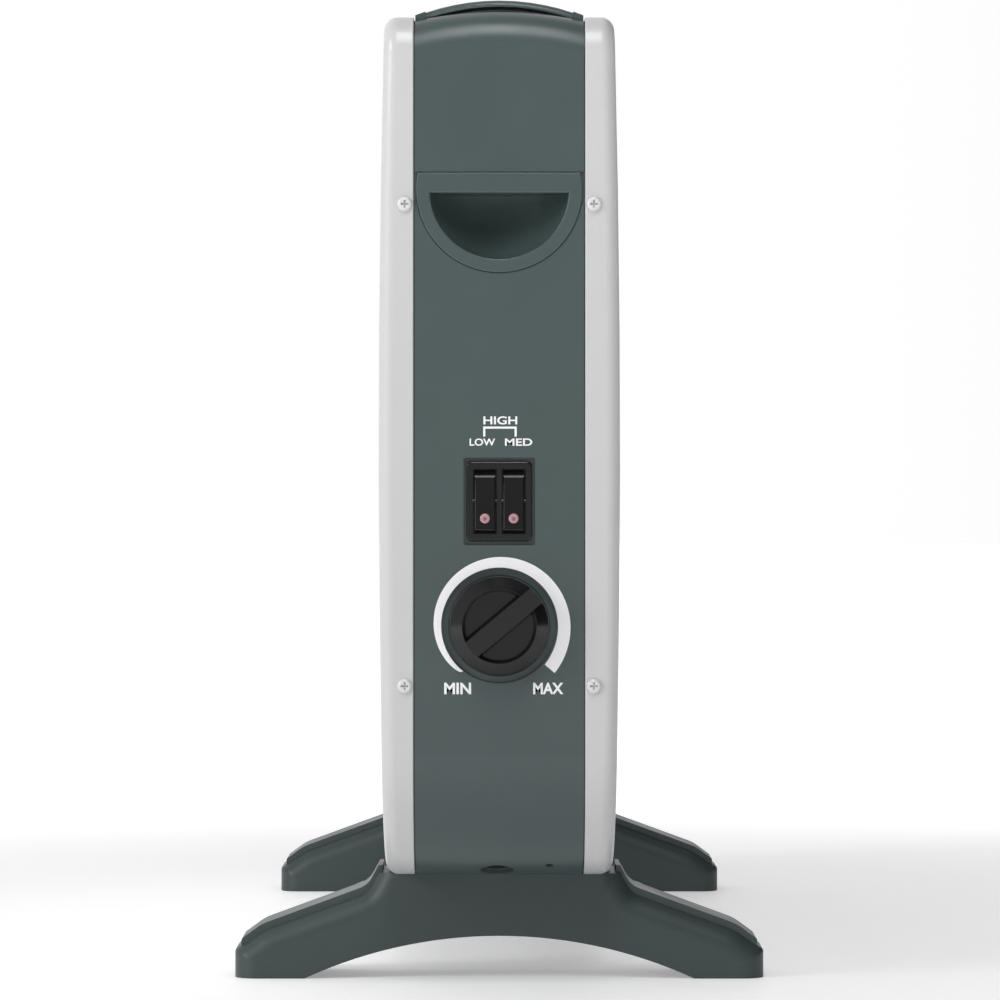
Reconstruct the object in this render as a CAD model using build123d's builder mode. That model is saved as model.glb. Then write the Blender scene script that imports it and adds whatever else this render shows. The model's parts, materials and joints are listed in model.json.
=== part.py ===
from build123d import *
import os
from math import cos, radians, sin, sqrt

# Slim heater with a closed casing: two pressed side panels, a moulded cap at each end, a grille
# along the crown and two splayed feet. An oil-filled core of steel columns stands inside.
# X runs across the casing, Y along it with the controls at -Y, and Z up from the floor.

# ---- casing ----
casing_length = 580.0
casing_bottom = 42.0
casing_top = 381.0
half_depth = 47.2             # widest half of the bowed casing
bow_radius = 6500.0
bow_height = 210.0            # height at which the casing is widest
top_corner = 14.0             # upper corner of the casing seen from the side
base_corner = 50.0            # lower corner of the casing seen from the side
panel_edge = 33.5             # inner edge of each side panel's flange
panel_rim = 5.2               # rounded rim of the side panels
sheet = 1.0
fit_gap = 0.05
band_half = 33.0              # half width of the dark band between the panels
ear_half = 39.6               # moulded parts reach this far under the panel flanges

# ---- controls ----
knob_height = 13.6
knob_stand_out = 12.0         # how far the knob stands out of the cap
knob_z = 142.5
knob_radius = 19.9
switch_z = 191.0
rocker_pitch = 11.2
rocker_width = 8.1
rocker_tilt = 7.0             # degrees either side of the switch's centre position

# ---- end caps ----
cap_wall = 3.5
cap_depth = 50.0
shoulder_depth = 12.0         # the cap's top ends here, where the grille starts
shoulder_top = 383.2
shoulder_sag = 3.7
shoulder_radius = 13.0
screw_x = 36.9
screw_heights = (119.0, 307.0)
cup_z = 312.7                 # centre of the handle cup's circle
cup_radius = 32.4
cup_top = 319.3
mouth_radius = 27.1
mouth_top = 311.3
scoop_depth = 24.0
cup_recess = 1.2
cup_stand_out = 0.6

# ---- grille and base ----
grille_top = 388.0
grille_arch = 90.0
grille_wall = 2.6
grille_slot = 5.0
grille_pitch = 9.4
grille_slot_length = 57.0

# ---- feet ----
foot_width = 44.0             # along Y
foot_inset = 50.0             # from the casing's end to the foot's outer side
foot_half = 106.0
foot_arch_height = 17.1
foot_arch_half = 78.0
foot_wall = 3.0
foot_screw_x = 37.5
foot_screw_y = 12.0

# ---- core ----
column_count = 8
column_pitch = 54.0
first_column = -183.0
header_low = 85.0
header_high = 315.0
boss_radius = 16.0
bore_radius = 14.8
shield_y = -231.0

# ---- worked out ----
front_y = knob_stand_out - (casing_length + knob_stand_out) / 2
back_y = front_y + casing_length
mid_y = (front_y + back_y) / 2
mid_z = (casing_bottom + casing_top) / 2
last_column = first_column + (column_count - 1) * column_pitch
far_side = Plane((0, mid_y, 0), x_dir=(1, 0, 0), z_dir=(0, 1, 0))
near_foot_y = front_y + foot_inset + foot_width / 2
far_foot_y = back_y - foot_inset - foot_width / 2
band_base = casing_bottom + sheet + fit_gap

os.makedirs("parts", exist_ok=True)


def square_to_y(y):
    """Sketch plane at y, drawn in X and Z, whose normal points out of the control end."""
    return Plane.XZ.offset(-y)


def panel_form(inset, inner_x):
    """Block inside the right-hand panel's skin, with that skin moved in by inset."""
    with BuildPart() as form:
        with BuildSketch(Plane.YZ.offset(inner_x)):
            with Locations((mid_y, mid_z)):
                Rectangle(casing_length - 2 * inset, casing_top - casing_bottom - 2 * inset)
            fillet(vertices().group_by(Axis.Y)[-1], top_corner - inset)
            fillet(vertices().group_by(Axis.Y)[0], base_corner - inset)
        extrude(amount=half_depth + 1 - inner_x)
        with BuildSketch(square_to_y(back_y + 1)):
            with Locations((half_depth - bow_radius, bow_height)):
                Circle(bow_radius - inset)
        extrude(amount=casing_length + 2, mode=Mode.INTERSECT)
        fillet(faces().sort_by(Axis.X)[-1].edges(), panel_rim - inset)
    return form.part


def band_form(half_width, inset):
    """Block of the band between the panels, with its arched shoulders, moved in by inset."""
    arch_radius = (band_half**2 + shoulder_sag**2) / (2 * shoulder_sag) - inset
    arch_middle = shoulder_top - inset
    arch_side = arch_middle - arch_radius + sqrt(arch_radius**2 - half_width**2)
    floor = casing_bottom + inset
    with BuildPart() as form:
        with BuildSketch(square_to_y(front_y + inset)):
            with BuildLine():
                Polyline(
                    (-half_width, arch_side),
                    (-half_width, floor),
                    (half_width, floor),
                    (half_width, arch_side),
                )
                ThreePointArc((half_width, arch_side), (0, arch_middle), (-half_width, arch_side))
            make_face()
        extrude(amount=2 * inset - casing_length)
        fillet(edges().filter_by(GeomType.CIRCLE), shoulder_radius - inset)
        fillet(edges().filter_by(Axis.X).group_by(Axis.Z)[0], base_corner - inset)
    return form.part


def scoop_form(radius, depth, ceiling):
    """Half bowl behind the handle cup's mouth, flat on top at the ceiling height."""
    mouth_y = front_y - cup_stand_out
    with BuildPart() as form:
        with BuildSketch(Plane.YZ):
            with Locations((mouth_y, cup_z)):
                Ellipse(depth, radius)
            with Locations((mouth_y, cup_z)):
                Rectangle(depth, radius, align=(Align.MIN, Align.MIN), mode=Mode.INTERSECT)
        revolve(axis=Axis((0, 0, cup_z), (0, 1, 0)))
        with BuildSketch(Plane.XY.offset(ceiling)):
            with Locations((0, mouth_y + depth / 2)):
                Rectangle(3 * radius, 2 * depth)
        extrude(amount=2 * radius, mode=Mode.SUBTRACT)
    return form.part


# ---- side panels ----
with BuildPart() as right_side_panel:
    add(panel_form(0, panel_edge))
    fillet(faces().sort_by(Axis.X)[0].edges(), 0.5)
    add(panel_form(sheet, panel_edge - 1), mode=Mode.SUBTRACT)
    with BuildSketch(square_to_y(back_y + 1)):
        with Locations([(screw_x, z) for z in screw_heights]):
            Circle(1.7)
    extrude(amount=casing_length + 2, mode=Mode.SUBTRACT)
    with BuildSketch(Plane.XY.offset(casing_bottom - 1)):
        for foot_y in (near_foot_y, far_foot_y):
            with Locations((foot_screw_x, foot_y - foot_screw_y), (foot_screw_x, foot_y + foot_screw_y)):
                Circle(2.25)
    extrude(amount=3, mode=Mode.SUBTRACT)
right_side_panel.part.label = "right_side_panel"
export_step(right_side_panel.part, "parts/right_side_panel.step")

with BuildPart() as left_side_panel:
    add(mirror(right_side_panel.part, about=Plane.YZ, mode=Mode.PRIVATE))
left_side_panel.part.label = "left_side_panel"
export_step(left_side_panel.part, "parts/left_side_panel.step")

# ---- end caps ----
with BuildPart() as cap_blank:
    add(band_form(band_half, 0))
    add(band_form(ear_half, sheet + fit_gap))
    add(band_form(ear_half + 1, cap_wall), mode=Mode.SUBTRACT)
    # the lower curve runs back to the base plate, the shoulder only to the grille
    with BuildSketch(Plane.YZ.offset(-ear_half - 2)):
        with Locations((front_y - 1, casing_bottom - 1)):
            Rectangle(cap_depth + 1, 200, align=(Align.MIN, Align.MIN))
            Rectangle(shoulder_depth + 1, 350, align=(Align.MIN, Align.MIN))
    extrude(amount=2 * ear_half + 4, mode=Mode.INTERSECT)
    # screw posts behind the panel flanges
    with BuildSketch(square_to_y(front_y + cap_wall - 0.5)):
        with Locations([(side * screw_x, z) for side in (-1, 1) for z in screw_heights]):
            Circle(3.6)
    extrude(amount=-10)
    with BuildSketch(square_to_y(front_y + sheet)):
        with Locations([(side * screw_x, z) for side in (-1, 1) for z in screw_heights]):
            Circle(1.5)
    extrude(amount=-14, mode=Mode.SUBTRACT)
    # recess for the handle cup's rim, open at the sides where the rim is as wide as the band
    with BuildSketch(square_to_y(front_y + cup_recess)):
        with Locations((0, cup_z)):
            Circle(cup_radius + 0.3)
        with Locations((0, cup_top - 6)):
            Rectangle(2 * band_half + 1, 12.6)
        with Locations((0, cup_top + 0.3)):
            Rectangle(80, 60, align=(Align.CENTER, Align.MIN), mode=Mode.SUBTRACT)
    extrude(amount=cup_recess + 1, mode=Mode.SUBTRACT)
    # opening for the scoop
    with BuildSketch(square_to_y(front_y)):
        with Locations((0, cup_z)):
            Circle(mouth_radius + 2.3)
        with Locations((0, mouth_top + 2.3)):
            Rectangle(80, 60, align=(Align.CENTER, Align.MIN), mode=Mode.SUBTRACT)
    extrude(amount=-cap_wall - 1, mode=Mode.SUBTRACT)

with BuildPart() as far_end_cap:
    add(mirror(cap_blank.part, about=far_side, mode=Mode.PRIVATE))
far_end_cap.part.label = "far_end_cap"
export_step(far_end_cap.part, "parts/far_end_cap.step")

# the cord hole and the small drain hole sit square to the lower curve
cord_angle = 18.0             # from straight down towards the control end
drain_angle = 25.5
curve_y = front_y + base_corner
curve_z = casing_bottom + base_corner


def curve_plane(x, angle, depth):
    """Plane square to the lower curve, its normal pointing out, sunk by depth."""
    reach = base_corner - depth
    out = (0, -sin(radians(angle)), -cos(radians(angle)))
    return Plane((x, curve_y + reach * out[1], curve_z + reach * out[2]), x_dir=(1, 0, 0), z_dir=out)


cord_hole_x = -0.9
cord_hole_radius = 6.6
with BuildPart() as control_end_cap:
    add(cap_blank.part)
    # round recess and spindle hole of the knob, and the thermostat's two screw holes
    with BuildSketch(square_to_y(front_y)):
        with Locations((0, knob_z)):
            Circle(22.5)
    extrude(amount=-2, mode=Mode.SUBTRACT)
    with BuildSketch(square_to_y(front_y)):
        with Locations((0, knob_z)):
            Circle(5.2)
        with Locations((-12, knob_z), (12, knob_z)):
            Circle(2.1)
    extrude(amount=-cap_wall - 1, mode=Mode.SUBTRACT)
    # recess and opening of the twin switch
    with BuildSketch(square_to_y(front_y)):
        with Locations((0, switch_z)):
            RectangleRounded(27.9, 34.1, 1.0)
    extrude(amount=-2, mode=Mode.SUBTRACT)
    with BuildSketch(square_to_y(front_y)):
        with Locations((0, switch_z)):
            Rectangle(22.8, 28.2)
    extrude(amount=-cap_wall - 1, mode=Mode.SUBTRACT)
    # wall that the cord clamp closes against
    with BuildSketch(Plane.XY.offset(casing_bottom + 3)):
        with Locations((0, front_y + 45.6)):
            Rectangle(36, 3)
    extrude(amount=24)
    with BuildSketch(square_to_y(front_y + 43)):
        with Locations((-11, 61), (11, 61)):
            Circle(1.5)
    extrude(amount=-5, mode=Mode.SUBTRACT)
    with BuildSketch(curve_plane(cord_hole_x, cord_angle, -2)):
        Circle(cord_hole_radius)
    extrude(amount=-8, mode=Mode.SUBTRACT)
    with BuildSketch(curve_plane(19.8, drain_angle, -2)):
        Circle(1.6)
    extrude(amount=-8, mode=Mode.SUBTRACT)
control_end_cap.part.label = "control_end_cap"
export_step(control_end_cap.part, "parts/control_end_cap.step")

with BuildPart() as cord_bushing:
    with BuildSketch(curve_plane(cord_hole_x, cord_angle, 1.4)):
        Circle(cord_hole_radius - fit_gap)
    extrude(amount=-3.5)
    with BuildSketch(curve_plane(cord_hole_x, cord_angle, cap_wall + 1.0)):
        Circle(cord_hole_radius + 1.2)
    extrude(amount=-2.2)
    with BuildSketch(curve_plane(cord_hole_x, cord_angle, 1.4)):
        Circle(4.3)
    extrude(amount=-7, mode=Mode.SUBTRACT)
    fillet(edges().filter_by(GeomType.CIRCLE).sort_by(Axis.Z)[:2], 0.6)
cord_bushing.part.label = "cord_bushing"
export_step(cord_bushing.part, "parts/cord_bushing.step")

clamp_y = front_y + 31
with BuildPart() as cord_clamp:
    with BuildSketch(square_to_y(clamp_y)):
        with Locations((0, 61)):
            RectangleRounded(32, 9, 2)
    extrude(amount=-4)
    with BuildSketch(Plane.XY.offset(50)):
        with Locations((cord_hole_x, clamp_y + 8)):
            Circle(5.0)
    extrude(amount=22, mode=Mode.SUBTRACT)
    with BuildSketch(square_to_y(clamp_y - 1)):
        with Locations((-11, 61), (11, 61)):
            Circle(1.7)
    extrude(amount=-6, mode=Mode.SUBTRACT)
cord_clamp.part.label = "cord_clamp"
export_step(cord_clamp.part, "parts/cord_clamp.step")

with BuildPart() as cord_clamp_screws:
    with BuildSketch(square_to_y(clamp_y)):
        with Locations((-11, 61), (11, 61)):
            Circle(2.9)
    extrude(amount=1.8)
    fillet(edges().group_by(Axis.Y)[0], 1.0)
    with BuildSketch(square_to_y(clamp_y)):
        with Locations((-11, 61), (11, 61)):
            Circle(1.45)
    extrude(amount=-16.2)
cord_clamp_screws.part.label = "cord_clamp_screws"
export_step(cord_clamp_screws.part, "parts/cord_clamp_screws.step")

# ---- handle cups ----
with BuildPart() as control_handle_cup:
    with BuildSketch(square_to_y(front_y + cup_recess)):
        with Locations((0, cup_z)):
            Circle(cup_radius)
        with Locations((0, cup_top)):
            Rectangle(80, 60, align=(Align.CENTER, Align.MIN), mode=Mode.SUBTRACT)
    extrude(amount=cup_recess + cup_stand_out)
    fillet(faces().sort_by(Axis.Y)[0].edges(), 0.5)
    add(scoop_form(mouth_radius + 2, scoop_depth + 2, mouth_top + 2))
    add(scoop_form(mouth_radius, scoop_depth, mouth_top), mode=Mode.SUBTRACT)
    fillet(faces().sort_by(Axis.Y)[0].inner_wires()[0].edges(), 0.6)
control_handle_cup.part.label = "control_handle_cup"
export_step(control_handle_cup.part, "parts/control_handle_cup.step")

with BuildPart() as far_handle_cup:
    add(mirror(control_handle_cup.part, about=far_side, mode=Mode.PRIVATE))
far_handle_cup.part.label = "far_handle_cup"
export_step(far_handle_cup.part, "parts/far_handle_cup.step")

# ---- casing screws: domed heads with a cross recess ----
with BuildPart() as control_cap_screws:
    screw_places = [(side * screw_x, z) for side in (-1, 1) for z in screw_heights]
    with BuildSketch(square_to_y(front_y)):
        with Locations(screw_places):
            Circle(2.95)
    extrude(amount=1.7)
    fillet(edges().group_by(Axis.Y)[0], 1.3)
    with BuildSketch(square_to_y(front_y)):
        with Locations(screw_places):
            Circle(1.45)
    extrude(amount=-12)
    with BuildSketch(square_to_y(front_y - 0.6)):
        with Locations(screw_places):
            Rectangle(3.0, 0.75)
            Rectangle(0.75, 3.0)
    extrude(amount=1.5, mode=Mode.SUBTRACT)
control_cap_screws.part.label = "control_cap_screws"
export_step(control_cap_screws.part, "parts/control_cap_screws.step")

with BuildPart() as far_cap_screws:
    add(mirror(control_cap_screws.part, about=far_side, mode=Mode.PRIVATE))
far_cap_screws.part.label = "far_cap_screws"
export_step(far_cap_screws.part, "parts/far_cap_screws.step")

# ---- top grille ----
grille_start = front_y + shoulder_depth + 0.3
grille_length = casing_length - 2 * (shoulder_depth + 0.3)
skirt_base = casing_top - sheet - 2.5


def grille_section(half_width, radius, base, start, length):
    """Arched bar along the crown."""
    crown = grille_top - grille_arch
    side = crown + sqrt(radius**2 - half_width**2)
    with BuildPart() as bar:
        with BuildSketch(square_to_y(start)):
            with BuildLine():
                Polyline((-half_width, side), (-half_width, base), (half_width, base), (half_width, side))
                ThreePointArc((half_width, side), (0, crown + radius), (-half_width, side))
            make_face()
        extrude(amount=-length)
    return bar.part


with BuildPart() as top_grille:
    add(grille_section(band_half, grille_arch, skirt_base, grille_start, grille_length))
    # the gap behind each cap's shoulder, then the rounded rim
    for end_y in (grille_start, grille_start + grille_length):
        with BuildSketch(Plane.XY.offset(skirt_base - 1)):
            with Locations((0, end_y)):
                Rectangle(grille_slot_length + 1, 5.4)
        extrude(amount=20, mode=Mode.SUBTRACT)
    rim_edges = edges().filter_by(GeomType.CIRCLE).sort_by(Axis.Z)[-2:]
    fillet(rim_edges, 2.4)
    add(
        grille_section(
            band_half - grille_wall,
            grille_arch - grille_wall,
            skirt_base - 1,
            front_y,
            casing_length,
        ),
        mode=Mode.SUBTRACT,
    )
    with BuildSketch(Plane.XY.offset(skirt_base)):
        for side in (-1, 1):
            with Locations((side * (ear_half + band_half - 1) / 2, mid_y)):
                Rectangle(ear_half - band_half + 1, grille_length - 10)
    extrude(amount=2.4)
    slot_count = int((grille_length - 2 * 10) / grille_pitch)
    with BuildSketch(Plane.XY.offset(skirt_base - 1)):
        with Locations((0, mid_y)):
            with GridLocations(1, grille_pitch, 1, slot_count):
                SlotOverall(grille_slot_length, grille_slot)
    extrude(amount=20, mode=Mode.SUBTRACT)
top_grille.part.label = "top_grille"
export_step(top_grille.part, "parts/top_grille.step")

# ---- base plate ----
base_length = casing_length - 2 * cap_depth - 0.4
foot_hole_places = [
    (side * foot_screw_x, foot_y + along)
    for side in (-1, 1)
    for foot_y in (near_foot_y, far_foot_y)
    for along in (-foot_screw_y, foot_screw_y)
]
bracket_ys = (first_column + column_pitch / 2, last_column - column_pitch / 2)
bracket_bolt_x = 20.0
bracket_bolt_inset = 8.0
bracket_bolt_places = [
    (side * bracket_bolt_x, y + toward * bracket_bolt_inset)
    for side in (-1, 1)
    for y, toward in zip(bracket_ys, (1, -1))
]
with BuildPart() as base_plate:
    with BuildSketch(Plane.XY.offset(band_base)):
        with Locations((0, mid_y)):
            Rectangle(2 * ear_half, base_length)
        with Locations((0, mid_y)):
            with GridLocations(1, 12, 1, 24):
                SlotOverall(50, 5, mode=Mode.SUBTRACT)
        with Locations(foot_hole_places):
            Circle(2.25, mode=Mode.SUBTRACT)
        with Locations(bracket_bolt_places):
            Circle(2.25, mode=Mode.SUBTRACT)
    extrude(amount=sheet)
base_plate.part.label = "base_plate"
export_step(base_plate.part, "parts/base_plate.step")

# ---- feet ----
foot_arch_radius = (foot_arch_half**2 + foot_arch_height**2) / (2 * foot_arch_height)
foot_knee = (53.2, 34.4)
foot_brow = (94.6, 19.4)
foot_lip = 49.2
screw_bearing = 33.0          # height of the screw heads' seats inside the foot
with BuildPart() as foot_pocket:
    # hollow under the foot's skin, with ribs and screw posts left standing
    with BuildSketch(square_to_y(0)):
        Polygon((0, 0), (76, 0), (76, 23), (51.4, 31.4), (46.5, 39), (0, 39), align=None)
    extrude(amount=foot_width / 2 - foot_wall, both=True)
    with BuildSketch(Plane.XY):
        with Locations((0, 0), (24.5, 0), (50.5, 0), (64, 0)):
            Rectangle(2.4, foot_width)
        with Locations((38, 0)):
            Rectangle(80, 2.4)
        with Locations((foot_screw_x, -foot_screw_y), (foot_screw_x, foot_screw_y)):
            Circle(6.2)
    extrude(amount=50, mode=Mode.SUBTRACT)

with BuildPart() as foot:
    with BuildSketch(square_to_y(0)):
        with BuildLine():
            Polyline(
                (0, foot_arch_height),
                (0, casing_bottom),
                (foot_lip, casing_bottom),
                foot_knee,
                foot_brow,
            )
            Polyline(foot_brow, (foot_half, 11.2), (foot_half, 0), (foot_arch_half, 0))
            RadiusArc((foot_arch_half, 0), (0, foot_arch_height), -foot_arch_radius)
        make_face()
        fillet(vertices().sort_by_distance(foot_knee)[0], 9)
        fillet(vertices().sort_by_distance(foot_brow)[0], 18)
        fillet(vertices().sort_by_distance((foot_half, 11.2))[0], 2)
    extrude(amount=foot_width / 2, both=True)
    fillet(edges().filter_by(Axis.Z).group_by(Axis.X)[-1], 9)
    # raised spine, which ends in a lip beside the casing
    with BuildSketch(square_to_y(0)):
        Polygon(
            (46.8, 30), (46.8, 45), (48.4, 45), (52.8, 36.9),
            (95.2, 21.4), (103.4, 15.4), (103.4, 11), (90, 14),
            align=None,
        )
        fillet(vertices().sort_by_distance((52.8, 36.9))[0], 9)
        fillet(vertices().sort_by_distance((95.2, 21.4))[0], 18)
        fillet(vertices().sort_by_distance((103.4, 15.4))[0], 1.2)
    extrude(amount=foot_width / 2 - 6, both=True)
    add(foot_pocket.part, mode=Mode.SUBTRACT)
    mirror(about=Plane.YZ)
    with BuildSketch(Plane.XY.offset(-1)):
        with GridLocations(2 * foot_screw_x, 2 * foot_screw_y, 2, 2):
            Circle(4.4)
    extrude(amount=screw_bearing + 1, mode=Mode.SUBTRACT)
    with BuildSketch(Plane.XY):
        with GridLocations(2 * foot_screw_x, 2 * foot_screw_y, 2, 2):
            Circle(2.25)
    extrude(amount=casing_bottom + 1, mode=Mode.SUBTRACT)

with BuildPart() as near_foot:
    add(foot.part.moved(Location((0, near_foot_y, 0))))
near_foot.part.label = "near_foot"
export_step(near_foot.part, "parts/near_foot.step")

with BuildPart() as far_foot:
    add(foot.part.moved(Location((0, far_foot_y, 0))))
far_foot.part.label = "far_foot"
export_step(far_foot.part, "parts/far_foot.step")

with BuildPart() as foot_screws:
    with BuildSketch(Plane.XY.offset(screw_bearing)):
        with Locations(foot_hole_places):
            Circle(4.0)
    extrude(amount=-2.6)
    fillet(edges().group_by(Axis.Z)[0], 1.4)
    with BuildSketch(Plane.XY.offset(screw_bearing)):
        with Locations(foot_hole_places):
            Circle(1.95)
    extrude(amount=18)
foot_screws.part.label = "foot_screws"
export_step(foot_screws.part, "parts/foot_screws.step")

with BuildPart() as base_nuts:
    for places, seat in (
        (foot_hole_places, band_base + sheet),
        (bracket_bolt_places, band_base + sheet + 2),
    ):
        with BuildSketch(Plane.XY.offset(seat)):
            with Locations(places):
                RegularPolygon(4.0, 6)
                Circle(2.0, mode=Mode.SUBTRACT)
        extrude(amount=3.2)
base_nuts.part.label = "base_nuts"
export_step(base_nuts.part, "parts/base_nuts.step")

# ---- twin switch ----
bezel_face = front_y - 0.6
rocker_pivot_y = bezel_face + 2.8
rocker_end_radius = 12.2
rocker_face = 3.2             # from the pivot to the rocker's front
pocket_half = 4.7
with BuildPart() as switch_housing:
    with BuildSketch(square_to_y(front_y + 2)):
        with Locations((0, switch_z)):
            RectangleRounded(25.6, 31.3, 2.0)
    extrude(amount=front_y + 2 - bezel_face)
    fillet(faces().sort_by(Axis.Y)[0].edges(), 0.8)
    with BuildSketch(square_to_y(front_y + 2)):
        with Locations((0, switch_z)):
            Rectangle(22.4, 27.8)
    extrude(amount=-20)
    # rear contact tabs, three behind each rocker
    with BuildSketch(square_to_y(front_y + 21)):
        with Locations([(side * rocker_pitch / 2, switch_z + up) for side in (-1, 1) for up in (-8, 0, 8)]):
            Rectangle(4.8, 0.8)
    extrude(amount=-9)
    with BuildSketch(square_to_y(bezel_face)):
        with Locations((-rocker_pitch / 2, switch_z), (rocker_pitch / 2, switch_z)):
            Rectangle(2 * pocket_half, 25.4)
    extrude(amount=-8.2, mode=Mode.SUBTRACT)
    # pivot holes in the pocket walls
    for side in (-1, 1):
        with BuildSketch(Plane.YZ.offset(side * rocker_pitch / 2)):
            with Locations((rocker_pivot_y, switch_z)):
                Circle(1.25)
        extrude(amount=pocket_half + 0.7, both=True, mode=Mode.SUBTRACT)
switch_housing.part.label = "switch_housing"
export_step(switch_housing.part, "parts/switch_housing.step")

rocker_rest = Location((0, rocker_pivot_y, switch_z), (-rocker_tilt, 0, 0))
lens_drop = 7.1
with BuildPart() as rocker_blank:
    # drawn about its pivot with its front square to Y
    with BuildSketch(Plane.YZ):
        Circle(rocker_end_radius)
        with Locations((-0.2, 0)):
            Rectangle(6.0, 2 * rocker_end_radius, mode=Mode.INTERSECT)
        Polygon((-3.2, 9.1), (-1.4, 12.6), (-4, 12.6), (-4, 9.1), align=None, mode=Mode.SUBTRACT)
    extrude(amount=rocker_width / 2, both=True)
    fillet(faces().sort_by(Axis.Y)[0].edges(), 0.5)
    with BuildSketch(Plane.YZ):
        Circle(1.2)
    extrude(amount=pocket_half + 0.6, both=True)
    with BuildSketch(Plane.XZ.offset(rocker_face)):
        with Locations((0, -lens_drop)):
            Circle(2.0)
    extrude(amount=-2.2, mode=Mode.SUBTRACT)

with BuildPart() as lens_blank:
    with BuildSketch(Plane.XZ.offset(rocker_face - 2.2)):
        with Locations((0, -lens_drop)):
            Circle(1.97)
    extrude(amount=2.8)
    fillet(edges().filter_by(GeomType.CIRCLE).sort_by(Axis.Y)[0], 0.7)

for level_name, side in (("low", -1), ("medium", 1)):
    place = Location((side * rocker_pitch / 2, 0, 0)) * rocker_rest
    with BuildPart() as rocker:
        add(rocker_blank.part.moved(place))
    rocker.part.label = f"{level_name}_rocker"
    export_step(rocker.part, f"parts/{level_name}_rocker.step")
    with BuildPart() as neon_lens:
        add(lens_blank.part.moved(place))
    neon_lens.part.label = f"{level_name}_neon_lens"
    export_step(neon_lens.part, f"parts/{level_name}_neon_lens.step")

# ---- thermostat knob: sloping ring, two hollows and a pointer bar between them ----
knob_face = front_y - knob_stand_out
knob_back = knob_face + knob_height
pointer_angle = 40.0          # above level, pointing to the upper right
hollow_radius = 14.4
bar_width = 7.3
pointer_way = (cos(radians(pointer_angle)), 0, sin(radians(pointer_angle)))
knob_plane = Plane((0, knob_face, knob_z), x_dir=pointer_way, z_dir=(0, -1, 0))
with BuildPart() as thermostat_knob:
    with BuildSketch(Plane.YZ):
        with BuildLine():
            Polyline(
                (knob_back, knob_z),
                (knob_back, knob_z + knob_radius),
                (knob_face + 5.4, knob_z + knob_radius - 0.6),
                (knob_face, knob_z + hollow_radius + 0.2),
                (knob_face, knob_z),
                (knob_back, knob_z),
            )
        make_face()
    revolve(axis=Axis((0, 0, knob_z), (0, 1, 0)))
    fillet(edges().filter_by(GeomType.CIRCLE).sort_by(Axis.Y)[1], 1.6)
    # pointer tip, carried level over the slope on one side
    with BuildSketch(knob_plane):
        with Locations((hollow_radius / 2, 0)):
            Rectangle(hollow_radius, bar_width)
        with Locations((0, 0)):
            Circle(knob_radius - 0.7)
            Rectangle(2 * knob_radius, bar_width, align=(Align.MIN, Align.CENTER), mode=Mode.INTERSECT)
    extrude(amount=-6)
    # hollows either side of the bar
    with BuildSketch(knob_plane):
        Circle(hollow_radius)
        Rectangle(4 * hollow_radius, bar_width, mode=Mode.SUBTRACT)
    extrude(amount=-8.6, taper=7, mode=Mode.SUBTRACT)
    # back hollow round the hub, and the spindle's D-shaped hole
    with BuildSketch(square_to_y(knob_back)):
        with Locations((0, knob_z)):
            Circle(knob_radius - 2)
            Circle(6, mode=Mode.SUBTRACT)
    extrude(amount=2.8, mode=Mode.SUBTRACT)
    with BuildSketch(square_to_y(knob_back)):
        with Locations((0, knob_z)):
            Circle(3.03)
        with Locations((2.03, knob_z)):
            Rectangle(4, 8, align=(Align.MIN, Align.CENTER), mode=Mode.SUBTRACT)
    extrude(amount=8.2, mode=Mode.SUBTRACT)
thermostat_knob.part.label = "thermostat_knob"
export_step(thermostat_knob.part, "parts/thermostat_knob.step")

with BuildPart() as thermostat_spindle:
    with BuildSketch(square_to_y(front_y + 22)):
        with Locations((0, knob_z)):
            Circle(3.0)
    extrude(amount=22 + knob_stand_out - knob_height + 8)
    with BuildSketch(square_to_y(knob_back + 0.3)):
        with Locations((2.0, knob_z)):
            Rectangle(4, 8, align=(Align.MIN, Align.CENTER))
    extrude(amount=12, mode=Mode.SUBTRACT)
thermostat_spindle.part.label = "thermostat_spindle"
export_step(thermostat_spindle.part, "parts/thermostat_spindle.step")

# ---- thermostat behind the cap ----
cap_back = front_y + cap_wall
shelf_z = knob_z + 9.5
with BuildPart() as thermostat_frame:
    with BuildSketch(square_to_y(cap_back)):
        with Locations((0, knob_z)):
            RectangleRounded(36, 22, 2)
    extrude(amount=-1.5)
    with BuildSketch(Plane.XY.offset(shelf_z)):
        with Locations((0, cap_back)):
            Rectangle(24, 17.5, align=(Align.CENTER, Align.MIN))
    extrude(amount=1.5)
    with BuildSketch(square_to_y(cap_back)):
        with Locations((0, knob_z)):
            Circle(4.8)
    extrude(amount=1.5)
    with BuildSketch(square_to_y(cap_back - 3)):
        with Locations((0, knob_z)):
            Circle(3.05)
        with Locations((-12, knob_z), (12, knob_z)):
            Circle(1.6)
    extrude(amount=-6, mode=Mode.SUBTRACT)
thermostat_frame.part.label = "thermostat_frame"
export_step(thermostat_frame.part, "parts/thermostat_frame.step")

with BuildPart() as thermostat_screws:
    with BuildSketch(square_to_y(front_y + 2)):
        with Locations((-12, knob_z), (12, knob_z)):
            Circle(3.3)
    extrude(amount=1.5)
    fillet(edges().group_by(Axis.Y)[0], 0.9)
    with BuildSketch(square_to_y(front_y + 2)):
        with Locations((-12, knob_z), (12, knob_z)):
            Circle(1.55)
    extrude(amount=-5)
thermostat_screws.part.label = "thermostat_screws"
export_step(thermostat_screws.part, "parts/thermostat_screws.step")

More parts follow.
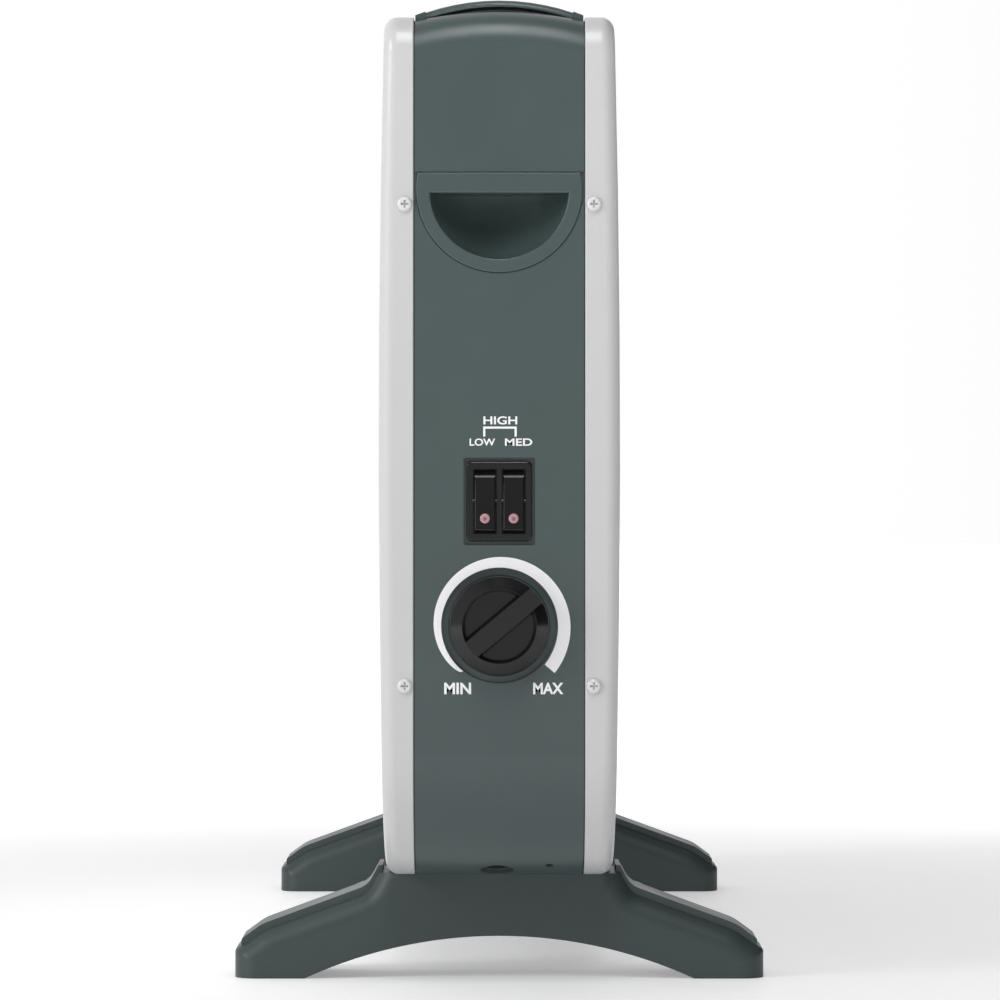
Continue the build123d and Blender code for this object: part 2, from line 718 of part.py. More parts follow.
stack_back = cap_back + 18.5
with BuildPart() as thermostat_contacts:
    with BuildSketch(Plane.XY.offset(shelf_z + 1.5)):
        with Locations((0, stack_back)):
            Rectangle(22, 14, align=(Align.CENTER, Align.MAX))
    extrude(amount=9)
    with BuildSketch(square_to_y(stack_back - 1)):
        with Locations((-8, shelf_z + 7), (8, shelf_z + 7)):
            Rectangle(4.8, 0.8)
    extrude(amount=-9)
thermostat_contacts.part.label = "thermostat_contacts"
export_step(thermostat_contacts.part, "parts/thermostat_contacts.step")

with BuildPart() as thermostat_bimetal:
    with BuildSketch(square_to_y(stack_back)):
        with Locations((0, shelf_z - 7)):
            RectangleRounded(8, 34, 1.5)
    extrude(amount=-0.8)
thermostat_bimetal.part.label = "thermostat_bimetal"
export_step(thermostat_bimetal.part, "parts/thermostat_bimetal.step")

# ---- control space: shield, terminal block, cutout and earth screw ----
element_opening = 27.0
with BuildPart() as heat_shield:
    with BuildSketch(square_to_y(shield_y)):
        with Locations((0, 52)):
            Rectangle(76, 324, align=(Align.CENTER, Align.MIN))
        with Locations((0, band_base + sheet)):
            Rectangle(56, 20, align=(Align.CENTER, Align.MIN))
        with Locations((0, header_low)):
            Circle(element_opening, mode=Mode.SUBTRACT)
        with Locations((0, 155)):
            Circle(2.1, mode=Mode.SUBTRACT)
        with Locations((0, 345)):
            with GridLocations(1, 9, 1, 5):
                SlotOverall(50, 4, mode=Mode.SUBTRACT)
    extrude(amount=-0.8)
    with BuildSketch(Plane.XY.offset(band_base + sheet)):
        with Locations((0, shield_y)):
            Rectangle(56, 13, align=(Align.CENTER, Align.MIN))
    extrude(amount=0.8)
heat_shield.part.label = "heat_shield"
export_step(heat_shield.part, "parts/heat_shield.step")

pole_xs = (-12.0, 0.0, 12.0)
block_z = 119.0
block_y = shield_y - 8
with BuildPart() as terminal_block:
    with BuildSketch(Plane.XY.offset(block_z)):
        with Locations((0, block_y)):
            RectangleRounded(38, 16, 1)
    extrude(amount=14)
    with BuildSketch(Plane.XY.offset(block_z)):
        with Locations([(x, block_y) for x in pole_xs]):
            Circle(2.3)
    extrude(amount=14, mode=Mode.SUBTRACT)
    with BuildSketch(square_to_y(block_y - 8)):
        with Locations([(x, block_z + 7) for x in pole_xs]):
            Circle(2.0)
    extrude(amount=-5, mode=Mode.SUBTRACT)
terminal_block.part.label = "terminal_block"
export_step(terminal_block.part, "parts/terminal_block.step")

with BuildPart() as terminal_sleeves:
    with BuildSketch(Plane.XY.offset(block_z + 0.5)):
        with Locations([(x, block_y) for x in pole_xs]):
            Circle(2.25)
            Circle(1.5, mode=Mode.SUBTRACT)
    extrude(amount=13)
terminal_sleeves.part.label = "terminal_sleeves"
export_step(terminal_sleeves.part, "parts/terminal_sleeves.step")

cutout_z = 240.0
with BuildPart() as thermal_cutout:
    with BuildSketch(square_to_y(shield_y)):
        with Locations((0, cutout_z)):
            Circle(8.5)
    extrude(amount=6)
    fillet(edges().filter_by(GeomType.CIRCLE).group_by(Axis.Y)[0], 0.8)
    with BuildSketch(square_to_y(shield_y - 3.2)):
        with Locations((0, cutout_z)):
            Rectangle(30, 5)
    extrude(amount=0.8)
thermal_cutout.part.label = "thermal_cutout"
export_step(thermal_cutout.part, "parts/thermal_cutout.step")

with BuildPart() as earth_screw:
    with BuildSketch(square_to_y(shield_y)):
        with Locations((0, 155)):
            RegularPolygon(4, 6)
    extrude(amount=3.5)
    with BuildSketch(square_to_y(shield_y)):
        with Locations((0, 155)):
            Circle(2.0)
    extrude(amount=-8)
earth_screw.part.label = "earth_screw"
export_step(earth_screw.part, "parts/earth_screw.step")

# ---- oil-filled core ----
core_z = (header_low + header_high) / 2
with BuildPart() as oil_space:
    with BuildSketch(square_to_y(0)):
        with Locations((0, core_z)):
            RectangleRounded(57.6, 269.6, 24.8)
    extrude(amount=6.8, both=True)
    fillet(faces().sort_by(Axis.Y)[0].edges() + faces().sort_by(Axis.Y)[-1].edges(), 3.8)
    with BuildSketch(square_to_y(0)):
        with Locations((0, header_low), (0, header_high)):
            Circle(bore_radius)
    extrude(amount=column_pitch / 2, both=True)

with BuildPart() as column_blank:
    with BuildSketch(square_to_y(0)):
        with Locations((0, core_z)):
            RectangleRounded(60, 272, 26)
    extrude(amount=8, both=True)
    fillet(faces().sort_by(Axis.Y)[0].edges() + faces().sort_by(Axis.Y)[-1].edges(), 5)
    with BuildSketch(square_to_y(0)):
        with Locations((0, core_z)):
            RectangleRounded(70, 282, 30)
    extrude(amount=1.2, both=True)
    with BuildSketch(square_to_y(0)):
        with Locations((0, header_low), (0, header_high)):
            Circle(boss_radius)
    extrude(amount=column_pitch / 2, both=True)
    add(oil_space.part, mode=Mode.SUBTRACT)

for number in range(column_count):
    column_name = f"core_column_{number + 1:02d}"
    with BuildPart() as core_column:
        add(column_blank.part.moved(Location((0, first_column + number * column_pitch, 0))))
    core_column.part.label = column_name
    export_step(core_column.part, f"parts/{column_name}.step")

core_front = first_column - column_pitch / 2
core_back = last_column + column_pitch / 2
with BuildPart() as header_closures:
    with BuildSketch(square_to_y(core_front)):
        with Locations((0, header_high)):
            Circle(boss_radius)
    extrude(amount=2.5)
    with BuildSketch(square_to_y(core_back)):
        with Locations((0, header_low)):
            Circle(boss_radius)
        with Locations((0, header_high)):
            Circle(boss_radius)
            Circle(4.05, mode=Mode.SUBTRACT)
    extrude(amount=-2.5)
header_closures.part.label = "header_closures"
export_step(header_closures.part, "parts/header_closures.step")

with BuildPart() as filler_plug:
    with BuildSketch(square_to_y(core_back + 2.5)):
        with Locations((0, header_high)):
            RegularPolygon(7, 6)
    extrude(amount=-4)
    with BuildSketch(square_to_y(core_back + 2.5)):
        with Locations((0, header_high)):
            Circle(4.0)
    extrude(amount=8)
filler_plug.part.label = "filler_plug"
export_step(filler_plug.part, "parts/filler_plug.step")

# ---- element flange and the two hairpin elements ----
flange_radius = 25.0
leg_half = 5.0
leg_rise = 5.5
sheath_radius = 3.25


def flange_disc(plane, thickness, leg_holes):
    """Round flange about the lower header, with its bolt holes and bore."""
    with BuildPart() as disc:
        with BuildSketch(plane):
            with Locations((0, header_low)):
                Circle(flange_radius)
                with PolarLocations(20.5, 4, start_angle=45):
                    Circle(2.45, mode=Mode.SUBTRACT)
            with Locations((0, header_low)):
                if leg_holes:
                    with GridLocations(2 * leg_half, 2 * leg_rise, 2, 2):
                        Circle(sheath_radius + fit_gap, mode=Mode.SUBTRACT)
                else:
                    Circle(bore_radius, mode=Mode.SUBTRACT)
        extrude(amount=thickness)
    return disc.part


with BuildPart() as element_ring:
    add(flange_disc(square_to_y(core_front), 4, False))
element_ring.part.label = "element_ring"
export_step(element_ring.part, "parts/element_ring.step")

with BuildPart() as element_gasket:
    add(flange_disc(square_to_y(core_front - 4), 1.5, False))
element_gasket.part.label = "element_gasket"
export_step(element_gasket.part, "parts/element_gasket.step")

with BuildPart() as element_flange:
    add(flange_disc(square_to_y(core_front - 5.5), 4, True))
element_flange.part.label = "element_flange"
export_step(element_flange.part, "parts/element_flange.step")

with BuildPart() as flange_bolts:
    with BuildSketch(square_to_y(core_front - 9.5)):
        with Locations((0, header_low)):
            with PolarLocations(20.5, 4, start_angle=45):
                RegularPolygon(4.2, 6)
    extrude(amount=3.2)
    with BuildSketch(square_to_y(core_front - 9.5)):
        with Locations((0, header_low)):
            with PolarLocations(20.5, 4, start_angle=45):
                Circle(2.4)
    extrude(amount=-9)
flange_bolts.part.label = "flange_bolts"
export_step(flange_bolts.part, "parts/flange_bolts.step")

sheath_start = core_front - 18
for level_name, leg_z, reach in (
    ("low", header_low + leg_rise, 60.0),
    ("medium", header_low - leg_rise, 195.0),
):
    with BuildPart() as element:
        with BuildLine(Plane.XY.offset(leg_z)) as hairpin:
            Line((-leg_half, sheath_start), (-leg_half, reach))
            ThreePointArc((-leg_half, reach), (0, reach + leg_half), (leg_half, reach))
            Line((leg_half, reach), (leg_half, sheath_start))
        with BuildSketch(square_to_y(sheath_start)):
            with Locations((-leg_half, leg_z)):
                Circle(sheath_radius)
        sweep()
        with BuildSketch(square_to_y(sheath_start)):
            with Locations((-leg_half, leg_z), (leg_half, leg_z)):
                Circle(2.6)
        extrude(amount=4)
        with BuildSketch(square_to_y(sheath_start - 4)):
            with Locations((-leg_half, leg_z), (leg_half, leg_z)):
                Circle(1.4)
        extrude(amount=8)
    element.part.label = f"{level_name}_element"
    export_step(element.part, f"parts/{level_name}_element.step")

pin_end = sheath_start - 12
with BuildPart() as neutral_strap:
    with BuildSketch(square_to_y(pin_end + 2)):
        with Locations((leg_half, header_low)):
            RectangleRounded(7, 18, 2)
        with Locations((leg_half, header_low - leg_rise), (leg_half, header_low + leg_rise)):
            Circle(1.45, mode=Mode.SUBTRACT)
    extrude(amount=-1)
neutral_strap.part.label = "neutral_strap"
export_step(neutral_strap.part, "parts/neutral_strap.step")

# ---- core brackets ----
for bracket_name, y, toward in (
    ("near_core_bracket", bracket_ys[0], 1),
    ("far_core_bracket", bracket_ys[1], -1),
):
    with BuildPart() as bracket:
        with BuildSketch(square_to_y(y)):
            with Locations((0, band_base + sheet)):
                Rectangle(60, 34, align=(Align.CENTER, Align.MIN))
            with Locations((0, header_low)):
                Circle(boss_radius + 0.02, mode=Mode.SUBTRACT)
        extrude(amount=1, both=True)
        with BuildSketch(Plane.XY.offset(band_base + sheet)):
            with Locations((0, y + toward * 6)):
                Rectangle(60, 14)
            with Locations((-20, y + toward * 8), (20, y + toward * 8)):
                Circle(2.25, mode=Mode.SUBTRACT)
        extrude(amount=2)
    bracket.part.label = bracket_name
    export_step(bracket.part, f"parts/{bracket_name}.step")

with BuildPart() as bracket_bolts:
    with BuildSketch(Plane.XY.offset(band_base)):
        with Locations(bracket_bolt_places):
            Circle(4.0)
    extrude(amount=-2.6)
    fillet(edges().group_by(Axis.Z)[0], 1.4)
    with BuildSketch(Plane.XY.offset(band_base)):
        with Locations(bracket_bolt_places):
            Circle(1.95)
    extrude(amount=9)
bracket_bolts.part.label = "bracket_bolts"
export_step(bracket_bolts.part, "parts/bracket_bolts.step")

# ---- internal leads, each from one terminal to the next ----
lead_radius = 1.2
lead_bend = 2.6
pole_top = block_z + 13.5
tab_y = front_y + 30
cutout_y = shield_y - 3.6
stack_tab_y = stack_back + 8
stack_tab_z = shelf_z + 7
left_x, right_x = -31.0, 25.0
lead_routes = {
    "supply_lead": [
        (pole_xs[0], block_y, pole_top), (pole_xs[0], block_y, 170), (-25, block_y, 195),
        (-25, cutout_y, cutout_z), (-15, cutout_y, cutout_z),
    ],
    "cutout_lead": [
        (15, cutout_y, cutout_z), (right_x, cutout_y, cutout_z), (right_x, -238, 200), (22, -244, 165),
        (8, -244, stack_tab_z), (8, stack_tab_y, stack_tab_z),
    ],
    "thermostat_lead": [
        (-8, stack_tab_y, stack_tab_z), (-8, -245, stack_tab_z),
        (-17, -245, 166), (-17, -245, switch_z - 8),
        (-rocker_pitch / 2, -245, switch_z - 8), (-rocker_pitch / 2, tab_y, switch_z - 8),
    ],
    "low_lead": [
        (-rocker_pitch / 2, tab_y, switch_z + 8), (-rocker_pitch / 2, -243, switch_z + 8),
        (left_x, -243, switch_z + 14), (left_x, -246, header_low + leg_rise),
        (-leg_half, -246, header_low + leg_rise), (-leg_half, pin_end, header_low + leg_rise),
    ],
    "medium_lead": [
        (rocker_pitch / 2, tab_y, switch_z + 8), (rocker_pitch / 2, -248, switch_z + 8),
        (rocker_pitch / 2, -248, switch_z + 18), (left_x - 3, -248, switch_z + 18),
        (left_x - 3, -251, header_low - leg_rise), (-leg_half, -251, header_low - leg_rise),
        (-leg_half, pin_end, header_low - leg_rise),
    ],
    "neutral_lead": [
        (pole_xs[2], block_y, pole_top), (pole_xs[2], block_y, 145), (24, -241, 145),
        (24, -247, header_low + leg_rise), (leg_half, -247, header_low + leg_rise),
        (leg_half, pin_end, header_low + leg_rise),
    ],
    "earth_lead": [
        (pole_xs[1], block_y, pole_top),
        (pole_xs[1], block_y, 155),
        (pole_xs[1], shield_y - 3.5, 155),
    ],
}
for lead_name, points in lead_routes.items():
    with BuildPart() as lead:
        with BuildLine() as route:
            FilletPolyline(*points, radius=lead_bend if lead_name != "earth_lead" else 1.9)
        with BuildSketch(Plane(route.line @ 0, z_dir=route.line % 0)):
            Circle(lead_radius)
        sweep()
    lead.part.label = lead_name
    export_step(lead.part, f"parts/{lead_name}.step")
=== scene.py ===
import json
import math

import bmesh
import bpy
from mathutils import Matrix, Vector


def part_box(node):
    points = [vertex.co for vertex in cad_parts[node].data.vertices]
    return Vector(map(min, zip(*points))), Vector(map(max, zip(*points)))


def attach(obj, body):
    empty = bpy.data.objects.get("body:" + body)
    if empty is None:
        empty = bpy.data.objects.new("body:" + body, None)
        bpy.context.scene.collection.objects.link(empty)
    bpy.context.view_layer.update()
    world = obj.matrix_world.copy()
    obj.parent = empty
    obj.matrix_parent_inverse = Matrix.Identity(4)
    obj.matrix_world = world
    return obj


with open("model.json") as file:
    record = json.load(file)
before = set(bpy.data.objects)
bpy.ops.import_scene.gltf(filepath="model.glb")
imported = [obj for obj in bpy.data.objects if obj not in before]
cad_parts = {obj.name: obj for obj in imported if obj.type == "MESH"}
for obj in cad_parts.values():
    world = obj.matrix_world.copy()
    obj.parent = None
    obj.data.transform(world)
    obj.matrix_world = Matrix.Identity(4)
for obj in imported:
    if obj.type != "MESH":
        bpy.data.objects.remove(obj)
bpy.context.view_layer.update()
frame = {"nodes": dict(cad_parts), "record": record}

MM = 0.001

# ---- places read from the frame ----
cap_low, cap_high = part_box("control_end_cap")
knob_low, knob_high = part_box("thermostat_knob")
switch_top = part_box("switch_housing")[1].z
face_y = cap_low.y
knob_z = (knob_low.z + knob_high.z) / 2

# ---- camera: level, square to the control end ----
CAMERA_DISTANCE = 2.0
CAMERA_HEIGHT = 0.1988
LENS = 184.6
SHIFT_X = 0.0007
SHIFT_Y = -0.0186
FLOOR_REACH = 14.0
LIGHT_TARGET = Vector((0, -0.2, 0.2))

# ---- legends ----
INK_THICKNESS = 0.05 * MM
ARC_START = 231.4             # degrees, anticlockwise from the right
ARC_END = -40.5
ARC_INNER = 22.7 * MM
ARC_WIDTH = 5.1 * MM          # at the high end
ARC_START_WIDTH = 0.25 * MM
ARC_TAPER = 0.38
ARC_END_LIFT = 0.6 * MM       # how far the inner edge eases outwards at the high end
ARC_LIFT_POWER = 6
ARC_STEPS = 160
# name, words, left and right edge, anchor height, rise of the baseline from it, cap height, weight;
# edges, rise and cap height in millimetres
LEGENDS = (
    ("legend_min", "MIN", -21.5, -11.0, knob_high.z, -46.6, 4.5, 0.03),
    ("legend_max", "MAX", 13.2, 25.0, knob_high.z, -46.6, 4.5, 0.03),
    ("legend_high", "HIGH", -6.2, 7.0, switch_top, 14.35, 3.2, 0.02),
    ("legend_low", "LOW", -11.6, -1.6, switch_top, 6.05, 2.85, 0.02),
    ("legend_med", "MED", 2.2, 12.9, switch_top, 6.05, 2.85, 0.02),
)
LETTER_DEPTH = 0.5            # only tells front from back; the print is brought to INK_THICKNESS
LETTER_STEPS = 4
WELD_REACH = 1e-7
BRACKET_LEFT = -6.3 * MM
BRACKET_RIGHT = 6.8 * MM
BRACKET_TOP = switch_top + 13.55 * MM
BRACKET_BOTTOM = switch_top + 9.65 * MM
BRACKET_LINE = 0.85 * MM


def new_material(name):
    material = bpy.data.materials.new(name)
    material.use_nodes = True
    nodes = material.node_tree.nodes
    shader = nodes["Principled BSDF"]
    return material, nodes, material.node_tree.links, shader


def noise(nodes, links, source, scale, detail=3.0, rough=0.5, stretch=None):
    """Noise in the object's own metres, stretched along an axis if asked."""
    texture = nodes.new("ShaderNodeTexNoise")
    texture.inputs["Scale"].default_value = scale
    texture.inputs["Detail"].default_value = detail
    texture.inputs["Roughness"].default_value = rough
    if stretch:
        mapping = nodes.new("ShaderNodeMapping")
        mapping.inputs["Scale"].default_value = stretch
        links.new(source, mapping.inputs["Vector"])
        source = mapping.outputs["Vector"]
    links.new(source, texture.inputs["Vector"])
    return texture.outputs["Fac"]


def ranged(nodes, links, value, low, high):
    """Noise, which lies mostly between 0.3 and 0.7, brought to low..high."""
    span = nodes.new("ShaderNodeMapRange")
    span.inputs["From Min"].default_value = 0.3
    span.inputs["From Max"].default_value = 0.7
    span.inputs["To Min"].default_value = low
    span.inputs["To Max"].default_value = high
    links.new(value, span.inputs["Value"])
    return span.outputs["Result"]


def surface(name, colour, rough, grain=1400.0, height=0.02, mottle=0.06, metallic=0.0, coat=0.0,
            specular=0.5, stretch=None, spread=0.05):
    """Moulded, painted or plated surface: fine grain in the bump, broad change in colour and gloss."""
    material, nodes, links, shader = new_material(name)
    place = nodes.new("ShaderNodeTexCoord").outputs["Object"]
    shader.inputs["Metallic"].default_value = metallic
    shader.inputs["Coat Weight"].default_value = coat
    shader.inputs["Specular IOR Level"].default_value = specular
    broad = noise(nodes, links, place, 35.0, 4.0, 0.55)
    fine = noise(nodes, links, place, grain, 2.0, 0.6, stretch)
    links.new(ranged(nodes, links, broad, rough - spread, rough + spread), shader.inputs["Roughness"])
    tone = nodes.new("ShaderNodeMix")
    tone.data_type = "RGBA"
    dark = [channel * (1 - mottle) for channel in colour]
    light = [min(1.0, channel * (1 + mottle)) for channel in colour]
    tone.inputs["A"].default_value = (*dark, 1)
    tone.inputs["B"].default_value = (*light, 1)
    mixed = nodes.new("ShaderNodeMath")
    mixed.operation = "MULTIPLY_ADD"
    mixed.inputs[1].default_value = 0.5
    links.new(fine, mixed.inputs[0])
    half = nodes.new("ShaderNodeMath")
    half.operation = "MULTIPLY"
    half.inputs[1].default_value = 0.5
    links.new(broad, half.inputs[0])
    links.new(half.outputs[0], mixed.inputs[2])
    links.new(mixed.outputs[0], tone.inputs["Factor"])
    links.new(tone.outputs["Result"], shader.inputs["Base Color"])
    bump = nodes.new("ShaderNodeBump")
    bump.inputs["Strength"].default_value = 0.35
    bump.inputs["Distance"].default_value = height * MM
    links.new(fine, bump.inputs["Height"])
    links.new(bump.outputs["Normal"], shader.inputs["Normal"])
    return material


GREY_GREEN = (0.054, 0.078, 0.077)
LOOKS = {
    "casing_plastic": surface("casing_plastic", GREY_GREEN, 0.33, 2600, 0.03, 0.05),
    "white_enamel": surface("white_enamel", (0.56, 0.56, 0.56), 0.34, 900, 0.03, 0.015, coat=0.15),
    "black_plastic": surface(
        "black_plastic", (0.008, 0.008, 0.0085), 0.20, 2200, 0.015, 0.10, specular=0.35
    ),
    "white_screw": surface("white_screw", (0.66, 0.66, 0.655), 0.30, 1500, 0.02, 0.03, coat=0.3),
    "zinc_steel": surface(
        "zinc_steel", (0.60, 0.61, 0.60), 0.36, 500, 0.02, 0.10, 1.0, stretch=(1, 1, 9)
    ),
    "brass": surface("brass", (0.74, 0.55, 0.26), 0.30, 700, 0.02, 0.10, 1.0),
    "white_insulator": surface("white_insulator", (0.80, 0.77, 0.70), 0.50, 1600, 0.03, 0.05),
    "element_sheath": surface(
        "element_sheath", (0.30, 0.29, 0.27), 0.42, 900, 0.02, 0.20, 1.0, stretch=(9, 1, 9)
    ),
    "rubber": surface("rubber", (0.022, 0.022, 0.023), 0.62, 1800, 0.04, 0.12),
    "core_steel": surface("core_steel", (0.23, 0.24, 0.24), 0.50, 700, 0.04, 0.10),
    "lead_red": surface("lead_red", (0.42, 0.04, 0.035), 0.48, 1500, 0.02, 0.10),
    "lead_blue": surface("lead_blue", (0.04, 0.10, 0.40), 0.48, 1500, 0.02, 0.10),
    "lead_green": surface("lead_green", (0.14, 0.36, 0.07), 0.48, 1500, 0.02, 0.10),
}
# Feet: the casing's grey-green made darker as painted shade on the lower parts.
FOOT_PAINTED_SHADE = surface("foot_plastic_painted_shade", (0.040, 0.056, 0.056), 0.42, 2200, 0.03, 0.05)
INK = surface("legend_ink", (0.86, 0.86, 0.87), 0.45, 1800, 0.01, 0.03)


def neon_lens():
    """Pink lens with the small dark lamp showing in its middle, the same on both rockers."""
    material = surface("neon_lens", (0.46, 0.25, 0.27), 0.14, 1200, 0.01, 0.12, coat=0.5)
    nodes, links = material.node_tree.nodes, material.node_tree.links
    shader = nodes["Principled BSDF"]
    pink = shader.inputs["Base Color"].links[0].from_socket
    low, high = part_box("medium_neon_lens")
    centre = (low + high) / 2
    place = nodes.new("ShaderNodeTexCoord").outputs["Object"]
    mirrored = nodes.new("ShaderNodeVectorMath")
    mirrored.operation = "ABSOLUTE"
    links.new(place, mirrored.inputs[0])
    reach = nodes.new("ShaderNodeVectorMath")
    reach.operation = "DISTANCE"
    reach.inputs[1].default_value = (abs(centre.x), abs(low.y), centre.z)
    links.new(mirrored.outputs["Vector"], reach.inputs[0])
    fade = nodes.new("ShaderNodeMapRange")
    fade.inputs["From Min"].default_value = 0.35 * MM
    fade.inputs["From Max"].default_value = 1.1 * MM
    links.new(reach.outputs["Value"], fade.inputs["Value"])
    lamp = nodes.new("ShaderNodeMix")
    lamp.data_type = "RGBA"
    lamp.inputs["A"].default_value = (0.16, 0.11, 0.12, 1)
    links.new(fade.outputs["Result"], lamp.inputs["Factor"])
    links.new(pink, lamp.inputs["B"])
    links.new(lamp.outputs["Result"], shader.inputs["Base Color"])
    return material


def floor_look():
    """Pale floor with a painted glow that rises with distance, so it runs into the background; near the
    heater the glow lightens its cast shadows.
    """
    material = surface("studio_floor", (0.80, 0.80, 0.805), 0.55, 300, 0.02, 0.01, specular=0.2)
    nodes, links = material.node_tree.nodes, material.node_tree.links
    shader = nodes["Principled BSDF"]
    reach = nodes.new("ShaderNodeVectorMath")
    reach.operation = "LENGTH"
    links.new(nodes.new("ShaderNodeTexCoord").outputs["Object"], reach.inputs[0])
    # Painted glow: emission that lightens the shadows near the heater and brings the far floor up to the
    # background.
    painted_floor_glow = nodes.new("ShaderNodeMapRange")
    painted_floor_glow.interpolation_type = "SMOOTHSTEP"
    painted_floor_glow.inputs["From Min"].default_value = 0.30
    painted_floor_glow.inputs["From Max"].default_value = 1.30
    painted_floor_glow.inputs["To Min"].default_value = 0.30
    painted_floor_glow.inputs["To Max"].default_value = 0.85
    links.new(reach.outputs["Value"], painted_floor_glow.inputs["Value"])
    shader.inputs["Emission Color"].default_value = (1, 1, 1, 1)
    links.new(painted_floor_glow.outputs["Result"], shader.inputs["Emission Strength"])
    return material


def dress_cad_nodes():
    """Each CAD node takes the finish of its slot in the record, except the feet, which take a darker
    copy of the casing plastic whose darkening is painted shade.
    """
    LOOKS["neon_lens"] = neon_lens()
    for part in frame["record"]["subparts"]:
        node = frame["nodes"][part["node"]]
        node.data.materials.clear()
        foot = part["node"] in ("near_foot", "far_foot")
        node.data.materials.append(FOOT_PAINTED_SHADE if foot else LOOKS[part["material_slot"]])


def add_piece(name, mesh, material, body="casing"):
    piece = bpy.data.objects.new(name, mesh)
    bpy.context.scene.collection.objects.link(piece)
    mesh.materials.clear()
    mesh.materials.append(material)
    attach(piece, body)
    return piece


def closed_mesh(name, build):
    """Mesh from the built faces, all facing outwards."""
    bmesh.ops.recalc_face_normals(build, faces=build.faces)
    mesh = bpy.data.meshes.new(name)
    build.to_mesh(mesh)
    build.free()
    return mesh


def slab(name, outline):
    """Closed flat print: outline is a list of (x, z) on the cap's face, anticlockwise from the front."""
    build = bmesh.new()
    front = [build.verts.new((x, face_y - INK_THICKNESS, z)) for x, z in outline]
    back = [build.verts.new((x, face_y + INK_THICKNESS, z)) for x, z in outline]
    build.faces.new(front)
    build.faces.new(back[::-1])
    count = len(outline)
    for i in range(count):
        j = (i + 1) % count
        build.faces.new((front[j], front[i], back[i], back[j]))
    return closed_mesh(name, build)


def dial_arc():
    """White band round the knob that widens from the low end to the high end."""
    outer, inner = [], []
    for i in range(ARC_STEPS + 1):
        t = i / ARC_STEPS
        angle = math.radians(ARC_START + (ARC_END - ARC_START) * t)
        near = ARC_INNER + ARC_END_LIFT * t**ARC_LIFT_POWER
        far = near + ARC_START_WIDTH + ARC_WIDTH * t**ARC_TAPER - ARC_START_WIDTH * t
        inner.append((near * math.cos(angle), knob_z + near * math.sin(angle)))
        outer.append((far * math.cos(angle), knob_z + far * math.sin(angle)))
    build = bmesh.new()
    rows = []
    for x, z in (point for pair in zip(inner, outer) for point in pair):
        rows.append([build.verts.new((x, face_y + side * INK_THICKNESS, z)) for side in (-1, 1)])
    for i in range(ARC_STEPS):
        a, b, c, d = rows[2 * i], rows[2 * i + 1], rows[2 * i + 3], rows[2 * i + 2]
        build.faces.new((a[0], b[0], c[0], d[0]))
        build.faces.new((d[1], c[1], b[1], a[1]))
        build.faces.new((b[0], b[1], c[1], c[0]))
        build.faces.new((d[0], d[1], a[1], a[0]))
    for first, second in ((0, 1), (2 * ARC_STEPS + 1, 2 * ARC_STEPS)):
        build.faces.new((rows[first][0], rows[first][1], rows[second][1], rows[second][0]))
    add_piece("dial_arc", closed_mesh("dial_arc", build), INK)


def legend(name, words, left, right, anchor, rise, height, weight):
    """Printed word on the cap's face, fitted to its width and cap height."""
    curve = bpy.data.curves.new(name, "FONT")
    curve.body = words
    curve.extrude = LETTER_DEPTH
    curve.offset = weight
    curve.resolution_u = LETTER_STEPS
    holder = bpy.data.objects.new(name + "_text", curve)
    bpy.context.scene.collection.objects.link(holder)
    bpy.context.view_layer.update()
    shaped = holder.evaluated_get(bpy.context.evaluated_depsgraph_get())
    mesh = bpy.data.meshes.new_from_object(shaped)
    bpy.data.objects.remove(holder)
    bpy.data.curves.remove(curve)
    xs = [v.co.x for v in mesh.vertices]
    ys = [v.co.y for v in mesh.vertices]
    wide = (right - left) * MM / (max(xs) - min(xs))
    tall = height * MM / (max(ys) - min(ys))
    for v in mesh.vertices:
        depth = -INK_THICKNESS if v.co.z > 0 else INK_THICKNESS
        x = left * MM + (v.co.x - min(xs)) * wide
        z = anchor + rise * MM + (v.co.y - min(ys)) * tall
        v.co = Vector((x, face_y + depth, z))
    build = bmesh.new()
    build.from_mesh(mesh)
    bpy.data.meshes.remove(mesh)
    bmesh.ops.remove_doubles(build, verts=build.verts, dist=WELD_REACH)
    add_piece(name, closed_mesh(name, build), INK)


def switch_bracket():
    """Line that joins the two switch legends under the upper one."""
    inner_left = BRACKET_LEFT + BRACKET_LINE
    inner_right = BRACKET_RIGHT - BRACKET_LINE
    inner_top = BRACKET_TOP - BRACKET_LINE
    outline = [
        (BRACKET_LEFT, BRACKET_BOTTOM),
        (inner_left, BRACKET_BOTTOM),
        (inner_left, inner_top),
        (inner_right, inner_top),
        (inner_right, BRACKET_BOTTOM),
        (BRACKET_RIGHT, BRACKET_BOTTOM),
        (BRACKET_RIGHT, BRACKET_TOP),
        (BRACKET_LEFT, BRACKET_TOP),
    ]
    add_piece("switch_bracket", slab("switch_bracket", outline), INK)


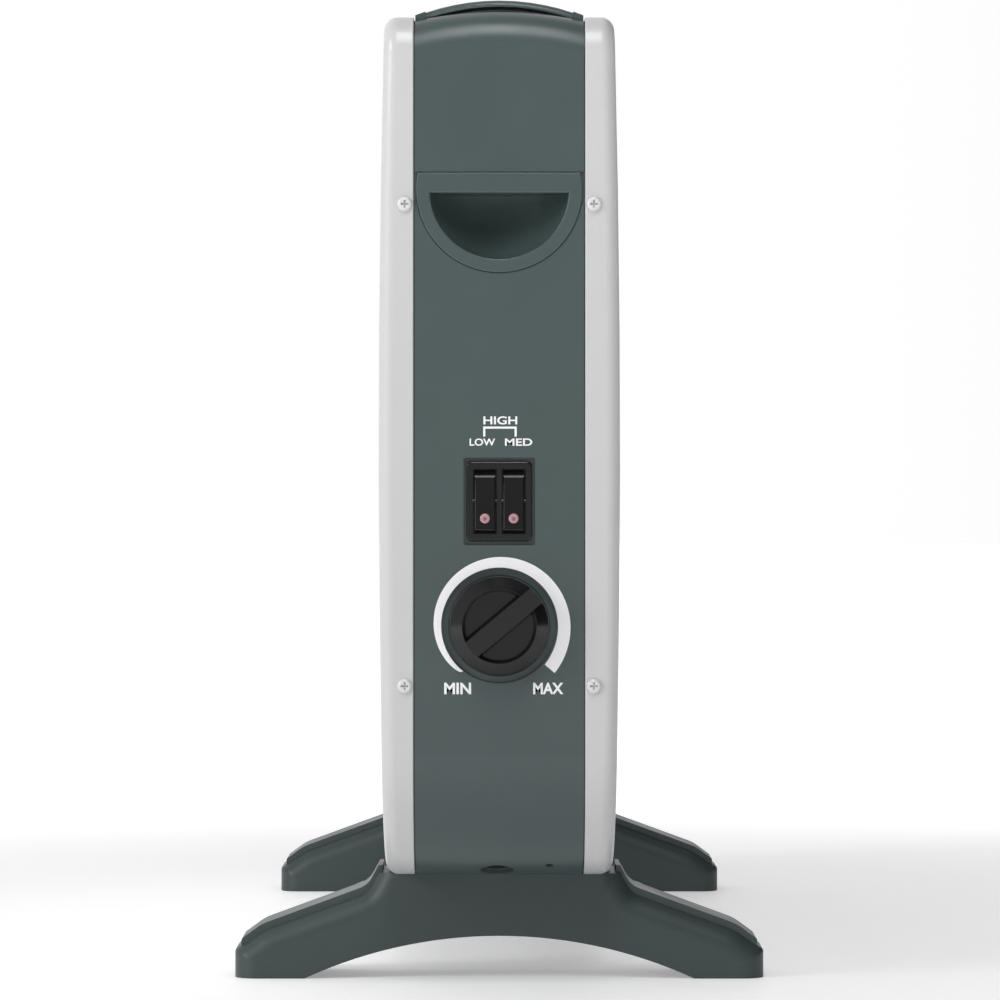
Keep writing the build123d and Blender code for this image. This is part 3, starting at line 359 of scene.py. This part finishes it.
def studio():
    """Pale floor that runs back out of sight, and soft light from the left, above and in front."""
    floor_mesh = bpy.data.meshes.new("studio_floor")
    corners = [(x * FLOOR_REACH, y * FLOOR_REACH, 0) for x, y in ((-1, -1), (1, -1), (1, 1), (-1, 1))]
    floor_mesh.from_pydata(corners, [], [(0, 1, 2, 3)])
    floor = bpy.data.objects.new("studio_floor", floor_mesh)
    bpy.context.scene.collection.objects.link(floor)
    floor_mesh.materials.append(floor_look())

    world = bpy.data.worlds.new("studio_world")
    bpy.context.scene.world = world
    world.use_nodes = True
    nodes, links = world.node_tree.nodes, world.node_tree.links
    background = nodes["Background"]
    background.inputs["Color"].default_value = (1.0, 1.0, 1.0, 1)
    direction = nodes.new("ShaderNodeSeparateXYZ")
    links.new(nodes.new("ShaderNodeTexCoord").outputs["Generated"], direction.inputs["Vector"])
    side = nodes.new("ShaderNodeMapRange")
    side.interpolation_type = "SMOOTHSTEP"
    side.inputs["From Min"].default_value = 0.06
    side.inputs["From Max"].default_value = 0.50
    side.inputs["To Min"].default_value = 1.0
    side.inputs["To Max"].default_value = 0.04
    links.new(direction.outputs["X"], side.inputs["Value"])
    front = nodes.new("ShaderNodeMapRange")
    front.interpolation_type = "SMOOTHSTEP"
    front.inputs["From Min"].default_value = -0.2
    front.inputs["From Max"].default_value = 0.85
    front.inputs["To Min"].default_value = 0.36
    front.inputs["To Max"].default_value = 1.0
    links.new(direction.outputs["Y"], front.inputs["Value"])
    strength = nodes.new("ShaderNodeMath")
    strength.operation = "MULTIPLY"
    links.new(side.outputs["Result"], strength.inputs[0])
    links.new(front.outputs["Result"], strength.inputs[1])
    links.new(strength.outputs[0], background.inputs["Strength"])

    for name, place, size, power in (
        ("key_left", (-2.3, -1.7, 1.2), (0.8, 1.3), 29.0),
        ("overhead_front", (-0.1, -1.5, 2.1), (1.5, 1.1), 5.0),
        ("shoulder_strip", (0.0, -1.25, 1.55), (0.36, 0.9), 8.0),
        ("fill_right", (1.9, -2.4, 0.9), (0.9, 1.4), 1.5),
    ):
        lamp = bpy.data.lights.new(name, "AREA")
        lamp.shape = "RECTANGLE"
        lamp.size, lamp.size_y = size
        lamp.energy = power
        light = bpy.data.objects.new(name, lamp)
        light.location = place
        aim = LIGHT_TARGET - Vector(place)
        light.rotation_euler = aim.to_track_quat("-Z", "Y").to_euler()
        bpy.context.scene.collection.objects.link(light)


def camera():
    data = bpy.data.cameras.new("camera")
    data.lens = LENS
    data.sensor_width = 36.0
    data.shift_x, data.shift_y = SHIFT_X, SHIFT_Y
    data.clip_end = 60.0
    view = bpy.data.objects.new("camera", data)
    view.location = (0, face_y - CAMERA_DISTANCE, CAMERA_HEIGHT)
    view.rotation_euler = (math.radians(90), 0, 0)
    bpy.context.scene.collection.objects.link(view)
    bpy.context.scene.camera = view


camera()
studio()
dress_cad_nodes()
dial_arc()
switch_bracket()
for words in LEGENDS:
    legend(*words)

bpy.context.scene.view_settings.view_transform = "Standard"
bpy.context.scene.view_settings.look = "None"
